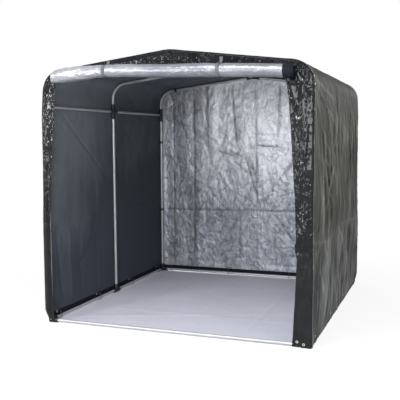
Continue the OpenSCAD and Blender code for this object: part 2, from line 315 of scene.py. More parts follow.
def settle(piece, node, slot, **cloth):
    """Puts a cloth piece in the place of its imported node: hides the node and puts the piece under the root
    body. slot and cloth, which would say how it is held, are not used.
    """
    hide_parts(node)
    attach(piece, "root")


sheeting = Finish("groundsheet", Specular_IOR_Level=0.5, Coat_Weight=0.1, Coat_Roughness=0.3)
cut = sheeting.where("UV")
weave = cut.stretched(1, 1, 0).noise(1400, 1)
wear = cut.noise(2.2, 5, 0.6)
dust = cut.noise(14, 6, 0.65).ramp((0.50, 0), (0.75, 1))
tube_low, tube_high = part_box("front_base_tube")
tube_y = (tube_low.y + tube_high.y) / 2
TUBE_SHADOW_IN = 0.018                           # painted shadow where the sheet meets the front tube, behind the tube's centre
from_tube_shadow = cut.axis(1) - (tube_y + TUBE_SHADOW_IN)
# a thin dark line painted into the sheet where it meets the front tube: painted shadow
painted_tube_shadow = (1 - from_tube_shadow.math("ABSOLUTE", from_tube_shadow) * 140).ramp((0, 0), (1, 1))
pale = (wear * 0.7 + dust * 0.3).tint((0.70, 0.70, 0.80), (0.60, 0.60, 0.70))
sheeting.feed("Base Color", painted_tube_shadow.tint(pale, (0.10, 0.10, 0.12)))
sheeting.feed("Roughness", wear * 0.25 + dust * 0.1 + 0.32)
sheeting.bump(cut.noise(35, 4, 0.6) + weave * 0.15, 0.10, 0.004)

SHEET_STEP = 0.02
SHEET_T = 0.0008
SHEET_HELD = 0.0017                       # height of its upper face where it is held down
sheet_low, sheet_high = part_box("groundsheet")
xs = np.linspace(sheet_low.x, sheet_high.x, round((sheet_high.x - sheet_low.x) / SHEET_STEP) + 1)
ys = np.linspace(tube_y - 0.004, sheet_high.y, round((sheet_high.y - tube_y) / SHEET_STEP))
x, y = np.meshgrid(xs, ys, indexing="ij")
# its folds, as (from x, from y, to x, to y, height, width)
folds = [(-0.53, -1.13, -0.53, 1.13, 0.0035, 0.010), (0.0, -1.13, 0.0, 1.13, 0.004, 0.010),
         (0.53, -1.13, 0.53, 1.13, 0.0035, 0.010), (-1.06, -0.97, 1.06, -0.15, 0.0035, 0.012),
         (-1.06, 0.56, 1.06, 0.56, 0.003, 0.012), (-1.06, -0.565, 1.06, -0.565, 0.003, 0.010)]
lift = 0.0030 + 0.0016 * swell(x * 3, y * 3) + 0.0010 * swell(x * 9, y * 8, 0.5) + creases(x, y, folds)
lift = np.maximum(lift, 0.0012)
edge = np.minimum(sheet_high.x - np.abs(x), np.minimum(y - tube_y, sheet_high.y - y))
pressed = smooth((0.10 - edge) / 0.04)    # the feet and the tubes hold its edges down
lift = lift * (1 - pressed) + SHEET_HELD * pressed
top = np.stack([x, y, lift], -1)
under = np.stack([x, y, lift - SHEET_T], -1)
groundsheet = grid("groundsheet_cloth", [top, under], np.stack([x, y], -1), [sheeting])
settle(groundsheet, "groundsheet", "groundsheet",
       flat=(sheet_high.x - sheet_low.x, sheet_high.y - tube_y), held="laid")


# Side walls and roof: one long piece of coated polyester over the hoops, olive black
# outside and slate inside. It is taut over the tubes and slack between them.
wall_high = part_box("right_wall")[1]
roof_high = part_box("roof_cover")[1]
hem_low, hem_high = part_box("wall_hems")
rail_low, rail_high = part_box("side_rails")
HALF_X = roof_high.x                      # outer face of the walls
HALF_Y = roof_high.y                      # ends of the roof and the walls
CORNER_R = 0.018                          # the cloth's bend round the front and the back hoop
SEAM_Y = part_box("front_gable")[0].y + CORNER_R
TURN_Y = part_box("back_wall")[1].y - CORNER_R
QUARTER = math.pi / 2
TURNED = CORNER_R * QUARTER + 0.014       # past the back corner the cover is turned in and sewn down
RIDGE_Z = roof_high.z
BEND_Z = wall_high.z                      # where the shoulder starts
RAIL_Z = (rail_low.z + rail_high.z) / 2
PITCH = math.radians(7)
BEND_R = 0.172                            # outer radius of the shoulder
CLOTH = 0.0015                            # thickness of the cover
ARC_L = BEND_R * (QUARTER - PITCH)
WALL_L = BEND_Z - hem_low.z
SLOPE_L = (HALF_X - BEND_R + BEND_R * math.sin(PITCH)) / math.cos(PITCH)
HALF_L = WALL_L + ARC_L + SLOPE_L         # from a hem to the ridge, along the cloth


def from_hem(s):
    """Distance along the cloth from the nearer hem, for a place s metres from the left one."""
    return np.where(s < HALF_L, s, 2 * HALF_L - s)


def profile(s):
    """Point and outward normal in X and Z, s metres along the cloth from the left hem."""
    side = np.where(s < HALF_L, -1.0, 1.0)
    t = from_hem(s)
    angle = np.clip((t - WALL_L) / BEND_R, 0, QUARTER - PITCH)
    run = np.clip(t - WALL_L - ARC_L, 0, None)
    x = HALF_X - BEND_R * (1 - np.cos(angle)) - run * math.cos(PITCH)
    z = hem_low.z + np.clip(t, None, WALL_L) + BEND_R * np.sin(angle) + run * math.sin(PITCH)
    ridge = hump(run - SLOPE_L, 0.03)
    return side * x, z - 0.001 * ridge, side * np.cos(angle), np.sin(angle)


def cover_wave(s, y):
    """How far the cover stands out from its frame, in metres; below zero it hangs inward. Also
    says where it is slack, and how much a place belongs to a wall and to a slope."""
    t = from_hem(s)
    z = np.clip(t, 0, WALL_L)
    slack = np.sin(np.pi * np.clip(np.abs(y) / (HALF_Y - 0.02), 0, 1))
    shoulder = hump(t - WALL_L - 0.09, 0.22)
    slope = smooth((t - WALL_L - ARC_L) / 0.25) * smooth((HALF_L - t) / 0.30)
    wall = smooth(z / 0.35) * smooth((WALL_L - z - 0.05) / 0.30) * (t < WALL_L + 0.2)
    belly = smooth((y + 0.9) / 1.6) * hump(z - 0.75, 0.55)
    out = -0.003 * slack ** 2 * shoulder - 0.008 * slack ** 2 * slope
    out = out + wall * slack * (0.004 + 0.010 * belly)
    upright = smooth(t / 0.10) * smooth((WALL_L + 0.08 - t) / 0.30)
    left_front = (0.014 + 0.014 * smooth((1.4 - t) / 0.8)) * hump(y + HALF_Y, 0.30)
    right_back = (0.006 + 0.012 * smooth((1.2 - t) / 0.8)) * hump(y - HALF_Y, 0.35)
    out = out + upright * np.where(s > HALF_L, right_back, left_front)
    return out, slack, wall, slope


def pressed_folds(seed, count, low, high, most):
    """Straight folds as (from y, from s, to y, to s, height, width), drawn at random between
    two places along the cloth."""
    draw = np.random.default_rng(seed)
    folds = []
    for _ in range(count):
        y, s = draw.uniform(-1.12, 1.12), draw.uniform(low, high)
        length, lean = draw.uniform(0.20, 0.90), draw.uniform(-1.05, 1.05)
        height = draw.choice([-0.7, 1.0]) * draw.uniform(0.35, 1.0) * most
        width = draw.uniform(0.007, 0.017)
        folds.append((y, s, y + length * math.sin(lean), s - length * math.cos(lean), height, width))
    return folds


def bent(y, s):
    """Places on the cloth, moved about so that straight folds come out curved."""
    return (y + 0.11 * swell(y * 1.5, s * 1.3, 0.4, 21.0) + 0.02 * swell(y * 6, s * 5, 0.1, 23.0),
            s + 0.08 * swell(y * 1.7, s * 1.4, 0.9, 22.0))


def leaning(t, y, key):
    """Place across the long folds, which lean and sway as they hang from the shoulders."""
    return y + 0.20 * np.sin(1.9 * t + key) + 0.09 * swell(y * 2.2, t * 1.7, 0.3, 1.0)


def cover_ridges(s, y):
    """Long folds that hang from the shoulders and lean; 1 at their ridges."""
    t = from_hem(s)
    key = np.where(s > HALF_L, 3.0, 0.0)
    return 1 - np.abs(swell(leaning(t, y, key) * 5.0, t * 0.8 + key, 0.0, 3.0))


def taut_corner(t, y):
    """The cloth is drawn flat high up near the front hoop; 1 elsewhere."""
    return 1 - 0.75 * np.exp(-((y + 0.88) / 0.20) ** 2 - ((t - 1.62) / 0.22) ** 2)


def cover_detail(s, y):
    """The cover's wave with its long folds and its crumples."""
    out, slack, wall, slope = cover_wave(s, y)
    t = from_hem(s)
    key = np.where(s > HALF_L, 3.0, 0.0)
    over = smooth((t - WALL_L) / 0.2)
    lively = np.where(s > HALF_L, 1.0, 0.30)      # the right wall hangs in many more folds
    lively = lively * (1 - over) + 0.6 * over
    criss = crumple(y * 4.2 + key * (1 - over), s * 3.2, 3, 0.5)
    tight = crumple(y * 11, s * 8, 2, 0.2, 4.0)
    free = (0.25 + 0.75 * slack) * (0.30 + 0.70 * wall + 0.25 * slope)
    low = 0.45 * smooth((0.80 - t) / 0.25)        # low down the long folds give way to soft bulges
    taut = taut_corner(t, y)
    out = out + free * lively * 0.0230 * (cover_ridges(s, y) - 0.7) * (1 - low) * taut * (1 - over)
    out = out + free * low * 0.055 * swell(y * 3.4 + key, t * 2.6, 0.4, 5.0) * lively
    return out + lively * (0.0120 * (criss - 0.72) * (0.5 + 0.5 * wall) * taut + 0.0030 * (tight - 0.72))


TIES_Y = (-1.038, -0.358, 0.322, 1.002)   # where the ball ties pull the foot of a side wall
TIE_UP = 0.04                             # how far over its lower edge
HOOP_Y = HALF_Y - 0.019                   # centre line of the front and the back hoop


def cover_clear(s, y, out):
    """Keeps the cloth out of the tubes and the fittings under it, and flat round the ties."""
    t = from_hem(s)
    near_hoop = np.minimum(np.abs(y), np.abs(np.abs(y) - HOOP_Y))
    tubes = smooth((0.10 - near_hoop) / 0.06)
    rail = smooth((0.09 - np.abs(t - (RAIL_Z - hem_low.z))) / 0.05)
    ridge = smooth((0.10 - np.abs(t - HALF_L)) / 0.06)
    foot = smooth((0.10 - t) / 0.06)
    held = np.clip(tubes + rail + ridge + foot, 0, 1)
    floor = -0.0005 * held - 0.05 * (1 - held)
    out = np.maximum(out, floor)
    tie = sum(np.exp(-((y - place) ** 2 + (t - TIE_UP) ** 2) / 0.045 ** 2) for place in TIES_Y)
    return out * (1 - np.clip(tie * 1.6, 0, 1))


# Folds that are pressed into the walls, as (from y, from z, to y, to z, height, width); the
# roof's have a place along the cloth instead of z.
LEFT_LINES = [(-0.943, 1.767, -0.056, 1.10, 0.0045, 0.012), (-0.95, 1.70, -0.30, 1.25, -0.0030, 0.03),
              (-1.16, 0.80, 1.16, 0.79, -0.0045, 0.014), (-0.62, 0.80, -0.61, 0.10, 0.0035, 0.012),
              (-0.64, 1.80, -0.60, 1.66, 0.0030, 0.008), (-0.58, 1.79, -0.66, 1.68, 0.0025, 0.008),
              (0.15, 1.70, 0.95, 1.12, 0.0035, 0.014), (0.05, 0.95, 0.75, 1.55, 0.0025, 0.014),
              (-0.98, 0.75, -0.90, 0.12, 0.0120, 0.030), (-0.80, 0.72, -0.78, 0.10, -0.0120, 0.035),
              (-1.08, 0.70, -1.04, 0.15, -0.0090, 0.025), (-0.42, 0.55, -0.66, 0.36, 0.0060, 0.014),
              (-0.32, 0.66, -0.33, 0.10, 0.0050, 0.012), (0.55, 1.85, 0.57, 0.10, 0.0020, 0.010)]
RIGHT_LINES = [(-1.15, 1.88, -0.55, 1.25, 0.0050, 0.012), (-1.15, 1.80, -0.80, 0.95, 0.0040, 0.012),
               (-1.16, 0.76, -0.55, 0.69, 0.0022, 0.016), (-0.55, 0.69, 0.25, 0.75, 0.0020, 0.016),
               (0.25, 0.75, 1.16, 0.68, 0.0020, 0.016), (-0.9, 0.70, -0.70, 0.12, 0.0050, 0.014),
               (-0.45, 0.72, -0.50, 0.06, 0.0045, 0.014), (0.20, 0.70, 0.12, 0.05, 0.0045, 0.014),
               (-0.50, 1.72, -0.30, 0.80, 0.0045, 0.014), (0.30, 1.90, 0.00, 1.00, 0.0040, 0.014),
               (0.85, 1.80, 0.60, 0.80, 0.0045, 0.014), (-0.95, 1.40, -0.20, 0.85, 0.0035, 0.012),
               (-1.12, 1.90, -0.30, 1.62, 0.0050, 0.014), (0.05, 1.92, -0.62, 0.95, 0.0045, 0.014),
               (-1.08, 1.90, -0.35, 1.80, 0.0080, 0.018), (-0.98, 1.81, -0.50, 1.72, -0.0080, 0.024),
               (-0.72, 1.84, -0.46, 1.48, 0.0070, 0.016), (-0.60, 1.78, -0.36, 1.42, -0.0070, 0.020),
               (-0.30, 1.87, -0.10, 1.42, 0.0070, 0.016), (-0.20, 1.84, -0.02, 1.48, -0.0060, 0.020),
               (0.28, 1.87, 0.42, 1.46, 0.0070, 0.016), (0.62, 1.87, 0.80, 1.40, 0.0070, 0.016)]
ROOF_LINES = [(-0.57, WALL_L, -0.57, 2 * HALF_L - WALL_L, 0.0030, 0.012),
              (0.57, WALL_L, 0.57, 2 * HALF_L - WALL_L, 0.0030, 0.012),
              (-1.14, WALL_L + 0.1, 0.0, HALF_L - 0.2, 0.0030, 0.014),
              (1.14, WALL_L + 0.1, 0.1, HALF_L - 0.2, 0.0030, 0.014),
              (0.15, WALL_L + 0.20, 0.80, WALL_L - 0.20, 0.0110, 0.035),
              (0.35, WALL_L + 0.34, 0.95, WALL_L + 0.02, -0.0100, 0.040),
              (-0.95, WALL_L + 0.30, -0.30, WALL_L + 0.02, 0.0050, 0.040)]
LEFT_FOLDS = pressed_folds(5, 16, 0.2, 1.95, 0.0030)
RIGHT_FOLDS = pressed_folds(8, 60, 2 * HALF_L - 1.9, 2 * HALF_L + 0.3, 0.0080)
ROOF_FOLDS = pressed_folds(9, 60, WALL_L + 0.1, 2 * HALF_L - WALL_L + 0.4, 0.0050)


def by_part(s, over, left, right, roof):
    """Takes the left wall's values, the right wall's, or past the shoulder the roof's."""
    return np.where(s < HALF_L, left, right) * (1 - over) + roof * over


def cover_out(s, y):
    """How far the finished cover stands out, with its pressed folds."""
    t = from_hem(s)
    z = t + hem_low.z
    over = smooth((t - WALL_L) / 0.15)
    across, along = bent(y, s)
    lines = np.where(s < HALF_L, creases(y, z, LEFT_LINES), creases(y, z, RIGHT_LINES)) * (1 - over)
    folds = by_part(s, over, creases(across, along, LEFT_FOLDS), creases(across, along, RIGHT_FOLDS),
                    creases(across, along, ROOF_FOLDS))
    return cover_clear(s, y, cover_detail(s, y) + lines + creases(y, s, ROOF_LINES) + folds)


def crests(lines, most):
    """The same folds as lines of painted sheen: narrow, and painted dark shade where a fold goes inward."""
    rubbed = []
    for *ends, height, width in lines:
        sign = 1 if height > 0 else -0.8
        rubbed.append((*ends, most * min(abs(height) / 0.006, 1) * sign, 0.009))
    return rubbed


def cover_painted_sheen(s, y):
    """Painted sheen and shade: the cloth's colour is lightened on the crests of its folds, here more and
    there less, and darkened where a fold goes inward.
    """
    t = from_hem(s)
    z = t + hem_low.z
    over = smooth((t - WALL_L) / 0.15)
    lean = leaning(t, y, 3.0)
    hair = (1 - np.abs(swell(lean * 13.0, t * 1.1, 0.0, 8.0))) ** 6
    hair = hair - 0.5 * (1 - np.abs(swell(lean * 9.0, t * 1.2, 0.1, 15.0))) ** 8
    patchy = smooth(0.55 + 0.9 * swell(y * 2.1, t * 1.5, 0.2, 12.0))
    drawn = 0.50 * cover_ridges(s, y) ** 12 * patchy + 0.32 * hair * (1 - 0.4 * patchy)
    # painted sheen: the soft bulges low down are lightened
    bulges = 0.50 * swell(y * 3.4 + 3.0, t * 2.2, 0.4, 5.0)
    bulges = bulges + 0.30 * np.abs(swell(y * 5.0, t * 3.0, 0.8, 9.0)) - 0.08
    soft = smooth((0.74 - z) / 0.10) * bulges
    across, along = bent(y, s)
    folds = by_part(s, over, creases(across, along, crests(LEFT_FOLDS, 0.4)),
                    creases(across, along, crests(RIGHT_FOLDS, 0.55)),
                    creases(across, along, crests(ROOF_FOLDS, 0.45)))
    pressed = folds * (0.25 + 0.75 * patchy)
    pressed = pressed + np.where(s > HALF_L, creases(y, z, crests(RIGHT_LINES, 0.55)), 0) * (1 - over)
    side = np.where(s > HALF_L, 1.0, 0.62)        # the left wall hangs flatter
    return 0.17 + (drawn * taut_corner(t, y) + soft) * side * (1 - over) + np.clip(pressed, -0.45, 0.60)


def cover_points(s, y, lift=0.0):
    """Outer face of the cover, s metres along the cloth; y runs on round the back corner."""
    reach = CORNER_R + cover_out(s, np.minimum(y, TURN_Y)) + lift
    bend = np.clip((y - TURN_Y) / CORNER_R, 0, QUARTER)
    flange = np.clip(y - TURN_Y - CORNER_R * QUARTER, 0, None)
    out = reach * np.cos(bend) - CORNER_R - flange
    px, pz, nx, nz = profile(s)
    past = (CORNER_R + lift) * np.sin(bend)
    return np.stack([px + nx * out, np.minimum(y, TURN_Y) + past, pz + nz * out], -1)


def cover_piece(name, s_from, s_to, node, flat):
    """A length of the cover, from one place along the cloth to another."""
    step = 0.0125
    run = np.concatenate([np.linspace(SEAM_Y, TURN_Y, round((TURN_Y - SEAM_Y) / step) + 1),
                          np.linspace(TURN_Y, TURN_Y + TURNED, 10)[1:]])
    rows = np.linspace(s_from, s_to, round((s_to - s_from) / step) + 1)
    s, y = np.meshgrid(rows, run, indexing="ij")
    outside, inside = cover_points(s, y), cover_points(s, y, -CLOTH)
    wider = np.concatenate([[rows[0] - step], rows, [rows[-1] + step]])
    shading = normals(cover_points(*np.meshgrid(wider, run, indexing="ij")))[1:-1]
    piece = grid(name, [outside, inside], np.stack([y, s], -1), [cover_outside, cover_inside], shading)
    # these stored values are painted sheen and painted shade for the cover's colour
    store(piece, "rubbed", cover_painted_sheen(s, y))
    settle(piece, node, "cover", flat=flat, held="stretched", rests_on=["front_left_roof_bow", "side_rails"])


def cloth_finish(name, low, high, roughness, shine, crinkle, ridges, heights, depths, seed):
    """Coated cloth; shine is the specular level and ridges is how far the painted sheen on its folds
    lightens it.
    heights and depths are (from, to, tone at the first, tone at the second) along Z and Y, and paint light
    and shade by height and by depth. The colour is also painted a little bluer towards the bottom, as sheen."""
    finish = Finish(name, Specular_IOR_Level=shine)
    cut = finish.where("UV").node("Mapping", {"vector_type": "POINT"}, Vector=finish.where("UV"),
                                  Location=(seed, seed * 0.7, 0))
    broad = cut.noise(1.6, 4, 0.6)
    mottled = cut.stretched(1, 0.35, 1).noise(7, 5, 0.65)
    pressed = cut.noise(16, 5, 0.62, "RIDGED_MULTIFRACTAL", 0.6)
    weave = cut.stretched(1, 1, 0).noise(900, 1)
    # painted sheen and painted shade stored on the points
    rubbed = finish.where().stored("rubbed")
    place = finish.where()
    painted_blue_sheen_low = place.axis(2).between(0.85, 0.55)
    painted_light_by_height = place.axis(2).between(*heights)
    painted_light_by_depth = place.axis(1).between(*depths)
    # the tone: random noise, painted sheen on the folds, and painted light and shade by height and depth
    worn = broad * 0.30 + mottled * 0.20 + rubbed * ridges + painted_light_by_height + painted_light_by_depth
    base = worn.ramp((0.22, 0), (0.95, 1)).tint(low, high)
    finish.feed("Base Color", painted_blue_sheen_low.tint(base, (0.985, 1.0, 1.075), "MULTIPLY"))
    finish.feed("Roughness", broad * 0.18 + mottled * 0.08 + (roughness - 0.14))
    finish.bump(pressed * 0.5 + mottled * 0.4 + rubbed * 0.8 + weave * 0.05, crinkle, 0.006)
    return finish


# The olive outside is painted lighter low down; the slate inside is painted lighter high up and towards the
# front, and darker low down and to the back.
cover_outside = cloth_finish("cover_olive_black", low=(0.010, 0.0105, 0.009), high=(0.240, 0.244, 0.222),
                             roughness=0.62, shine=0.012, crinkle=0.8, ridges=0.66,
                             heights=(0.55, 0.85, 0.07, 0.0), depths=(-1, 1, 0, 0), seed=0.0)
cover_inside = cloth_finish("cover_slate", low=(0.050, 0.057, 0.068), high=(0.270, 0.295, 0.330),
                            roughness=0.48, shine=0.03, crinkle=0.15, ridges=0.10,
                            heights=(0.3, 2.0, -0.15, 0.27), depths=(-1.1, 0.3, 0.08, -0.13), seed=4.0)
cover_piece("left_wall_cloth", 0.0, WALL_L, "left_wall", (2.33, 1.86))
cover_piece("roof_cloth", WALL_L, 2 * HALF_L - WALL_L, "roof_cover", (2.33, 2.40))
cover_piece("right_wall_cloth", 2 * HALF_L - WALL_L, 2 * HALF_L, "right_wall", (2.33, 1.86))


# Hems: a black woven band sewn inside the foot of each wall, where the ball ties pull.
# It is doubled cloth, so it lies flat against the wall, with a stitch line near each edge.
HEM_STEP = 0.010
HEM_GAP = 0.0004                          # between the band and the wall's inner face
HEM_H = hem_high.z - hem_low.z
hem_black = Finish("hem_webbing", Specular_IOR_Level=0.05)
cut = hem_black.where("UV")
ribs = cut.node("TexWave", {"bands_direction": "X"}, Vector=cut, Scale=90, Distortion=0.3)
rubbed = cut.noise(12, 4, 0.6)
hem_black.feed("Base Color", rubbed.tint((0.004, 0.006, 0.009), (0.013, 0.016, 0.020)))
hem_black.feed("Roughness", rubbed * 0.2 + 0.45)
hem_black.bump(ribs * 0.6 + rubbed, 0.35, 0.0012)


def hem_band(name, points_at, s_from, s_to, along, width):
    """A doubled band of cloth that follows the inner face of a wall."""
    s, y = np.meshgrid(np.linspace(s_from, s_to, 9), along, indexing="ij")
    edge = np.minimum(np.abs(s - s_from), np.abs(s - s_to))
    thick = 0.0009 + 0.0002 * hump(edge, 0.004) - 0.0003 * hump(edge - 0.008, 0.002)
    outer, inner = points_at(s, y, -CLOTH - HEM_GAP), points_at(s, y, -CLOTH - HEM_GAP - thick)
    piece = grid(name, [outer, inner], np.stack([y, s], -1), [hem_black])
    settle(piece, "wall_hems", "hem", flat=(width, HEM_H), held="stretched", rests_on=["cover_ties"])


side_run = np.arange(SEAM_Y - 0.004, HALF_Y - 0.004, HEM_STEP)
hem_band("left_hem_band", cover_points, HEM_H, 0.0, side_run, 2 * HALF_Y)
hem_band("right_hem_band", cover_points, 2 * HALF_L, 2 * HALF_L - HEM_H, side_run, 2 * HALF_Y)


# Back wall: coated cloth, black outside and silver inside, sewn into the end of the
# cover. It still shows the grid it was folded along, and the creases of its packing.
back_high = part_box("back_wall")[1]
BACK_STEP = 0.0105
BACK_ROWS = 196
BACK_FIT = 0.998                          # its width as a share of the cover's, which it lies inside
CROWD = 1.35                              # brings the columns closer together at the wall's sides
THIN_CLOTH = 0.0012                       # thickness of the back wall and the front panel
# its folds, as (from x, from z, to x, to z, height, width)
BACK_LINES = [(-0.680, 2.08, -0.687, 0.10, -0.0050, 0.009), (-0.515, 2.10, -0.518, 1.40, 0.0035, 0.010),
              (-0.252, 2.10, -0.190, 1.40, -0.0055, 0.008), (0.018, 2.13, 0.041, 0.05, -0.0060, 0.008),
              (0.288, 2.08, 0.262, 1.40, -0.0045, 0.009), (0.55, 2.05, 0.56, 0.08, -0.0045, 0.009),
              (0.82, 2.02, 0.83, 0.08, -0.0045, 0.009), (-0.93, 1.98, -0.93, 0.08, -0.0040, 0.009),
              (-1.08, 0.700, 1.08, 0.722, -0.0075, 0.011), (-0.117, 1.380, 0.062, 0.748, -0.0065, 0.008),
              (-0.060, 1.350, 0.060, 1.000, 0.0050, 0.010), (0.431, 1.246, 0.051, 0.747, -0.0070, 0.009),
              (0.300, 1.090, 0.200, 0.940, 0.0050, 0.012), (-0.151, 0.664, -0.383, 0.322, -0.0060, 0.008),
              (0.217, 0.699, 0.448, 0.385, -0.0055, 0.008), (-0.155, 0.62, -0.155, 0.10, -0.0055, 0.008),
              (0.229, 0.57, 0.242, 0.12, -0.0055, 0.008), (-1.016, 1.763, -0.576, 1.580, 0.0080, 0.022),
              (-0.576, 1.580, -0.264, 1.372, 0.0070, 0.018), (-0.264, 1.372, -0.117, 1.296, 0.0060, 0.010),
              (-1.016, 1.700, -0.60, 1.51, -0.0060, 0.020), (-0.671, 1.460, -0.437, 1.372, -0.0065, 0.014),
              (-0.43, 1.37, -0.20, 1.30, -0.0040, 0.010), (0.30, 1.40, 0.02, 1.42, -0.0040, 0.009),
              (0.45, 1.80, 0.28, 1.30, 0.0040, 0.014), (-0.42, 1.20, -0.20, 0.85, 0.0045, 0.016)]


def roof_line(x):
    """Height of the cover's outer face over x."""
    over = np.abs(x)
    bend_x = HALF_X - BEND_R
    drop = np.clip((over - bend_x) / BEND_R, 0, 1)
    shoulder = BEND_Z + BEND_R * np.sqrt(np.clip(1 - drop ** 2, 0, 1))
    slope = RIDGE_Z - over * math.tan(PITCH)
    tangent_x = bend_x + BEND_R * math.sin(PITCH)
    return np.where(over > tangent_x, shoulder, slope)


xs = np.linspace(-HALF_X, HALF_X, round(2 * HALF_X / BACK_STEP) + 1)
xs = HALF_X * np.sin(xs / HALF_X * CROWD) / math.sin(CROWD)
x, level = np.meshgrid(xs, np.linspace(0, 1, BACK_ROWS), indexing="ij")
x = x * BACK_FIT
z = hem_low.z + level * (roof_line(x) - 0.002 - hem_low.z)
edge = np.minimum(np.minimum(z - hem_low.z, roof_line(x) - z), HALF_X - np.abs(x))
loose = smooth(edge / 0.12)
hang = 0.012 * loose * np.sin(np.pi * np.clip((z - 0.05) / 2.0, 0, 1))
folds = 0.0070 * swell(x * 7.5 + 0.3 * swell(x * 2, z * 2), z * 0.9, 0.0, 2.0)
bulges = 0.0060 * swell(x * 3.1, z * 2.6, 0.4, 6.0)
wrinkles = 0.0055 * pinch(x * 4.6, z * 3.4, 0.12, 0.3) - 0.0030 * pinch(x * 6.5, z * 4.2, 0.10, 0.8, 9.0)
pinches = 0.0020 * (crumple(x * 12, z * 9, 2, 0.9, 3.0) - 0.72)
push = hang + loose * (folds + bulges) + smooth(edge / 0.05) * (wrinkles + pinches)
push = push - creases(x, z, BACK_LINES)
frame_near = smooth((0.06 - np.abs(np.abs(x) - (HALF_X - 0.022))) / 0.04)
push = np.maximum(push, -0.012 * (1 - frame_near) * smooth(edge / 0.05))
foot = smooth((0.11 - (z - hem_low.z)) / 0.05)
push = push * smooth((edge - 0.032) / 0.04) * (1 - foot)
back_face = back_high.y - CLOTH - 0.0002        # lies against the turned-in edge of the cover
back_outside = np.stack([x, back_face + push, z], -1)
back_inside = np.stack([x, back_face + push - THIN_CLOTH, z], -1)

silver = Finish("silver_coating", Metallic=0.50, Specular_IOR_Level=0.5)
cut = silver.where("UV")
broad = cut.noise(2.3, 4, 0.6)
facets = cut.stretched(1, 0.7, 1).noise(6, 4, 0.6, warp=0.5)
pinched = cut.noise(20, 6, 0.66, "RIDGED_MULTIFRACTAL", 0.9)
upright_lines = cut.stretched(1, 0.15, 1).noise(26, 4, 0.6)
light_worms = cut.fold_lines(9, 6, 0.7, 15, 3)
dark_worms = cut.fold_lines(11, 6.5, 0.9, 20, 3)
# painted sheen: the silver is lighter towards the upper right and higher up; the light and dark crinkle
# lines add a painted highlight and painted shade to the crinkles that the bump raises
to_right = cut.axis(0).between(-0.85, -0.38)
up_high = cut.axis(1).between(0.75, 1.75)
# pressed: a painted line of shade in each of the back wall's sharp folds
pressed = silver.where().stored("pressed")
sheen = to_right * up_high * 0.46 + up_high * 0.05 - to_right * 0.05
tone = broad * 0.22 + facets * 0.26 + light_worms * 0.11 - dark_worms * 0.19 + sheen - 0.09
shade = tone.ramp((0.0, 0), (0.90, 1)).tint((0.165, 0.178, 0.210), (0.90, 0.92, 0.98))
silver.feed("Base Color", pressed.tint(shade, (0.10, 0.105, 0.115)))
silver.feed("Roughness", broad * 0.12 + pinched * 0.05 + 0.40)
silver.bump(pinched * 0.10 + upright_lines * 0.35 + light_worms * 0.6 - dark_worms * 0.6, 0.40, 0.005)


def black_coating(name, shine, crinkle, calm_from, calm_to, worn):
    """Black coated cloth, finely crinkled; going down, it gets calmer between two heights.
    shine is the specular level and worn is the colour of its fold lines of wear and of the painted highlight
    along its pressed folds."""
    finish = Finish(name, Specular_IOR_Level=shine)
    cut = finish.where("UV")
    calm = cut.axis(1).between(calm_from, calm_to)
    broad = cut.noise(3, 4, 0.6)
    rubbed = cut.fold_lines(7, 3.5, 1.0, 9, 4)
    pinched = cut.stretched(1, 0.55, 1).noise(30, 3, 0.52, "RIDGED_MULTIFRACTAL", 0.9)
    pressed = finish.where().stored("pressed")
    # pressed lightens the tone: a painted highlight along the back wall's sharp folds
    tone = broad * 0.8 - 0.15 + pressed * 0.7 + rubbed * 0.35
    finish.feed("Base Color", tone.ramp((0, 0), (1, 1)).tint((0.003, 0.004, 0.005), worn))
    finish.feed("Roughness", broad * 0.06 + calm * 0.18 + 0.10)
    finish.bump(pinched * (1 - calm * 0.8), crinkle, 0.008)
    return finish


back_black = black_coating("back_black_coating", shine=0.22, crinkle=0.9, calm_from=-1.0, calm_to=-2.0,
                           worn=(0.050, 0.053, 0.057))
back_wall = grid("back_wall_cloth", [back_outside, back_inside], np.stack([x, z], -1), [back_black, silver])
SHARP = 0.0115                            # a fold no wider than this gets a painted line, of shade on the silver side and of highlight on the black side
painted_fold_lines = [(*ends, 1.15, 0.0090) for *ends, height, width in BACK_LINES if width < SHARP]
# painted shade on the silver inside and painted highlight on the black outside, along these folds
pressed = np.clip(creases(x, z, painted_fold_lines), 0, 1) * (0.45 + 0.55 * smooth(0.6 + swell(x * 4, z * 4)))
store(back_wall, "pressed", pressed)
settle(back_wall, "back_wall", "crinkled_cover", flat=(2.20, 2.15), held="stretched",
       rests_on=["back_left_upright", "back_right_upright"])


def back_foot(s, x, lift):
    """Inner face of the back wall's foot, s metres up from its lower edge."""
    return np.stack([x, np.full_like(x, back_face - THIN_CLOTH + CLOTH + lift), hem_low.z + s], -1)


BACK_HEM_X = HALF_X - 0.004
back_run = np.arange(-BACK_HEM_X, BACK_HEM_X, HEM_STEP)
hem_band("back_hem_band", back_foot, HEM_H, 0.0, back_run, 2 * BACK_HEM_X)


# Front: one panel of glossy coated cloth with the doorway cut out. It is sewn to the
# cover round the front hoop, as a fascia over the door and a narrow flap down each side.
front_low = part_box("front_gable")[0]
flap_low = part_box("right_flap")[0]
roll_low, roll_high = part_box("rolled_door")
FRONT_STEP = 0.011
OVERLAP = 0.010                                 # the panel lies this far over the cover's edge
FRONT_FOOT = flap_low.z - hem_low.z             # where the flaps end, along the hoop from the hem
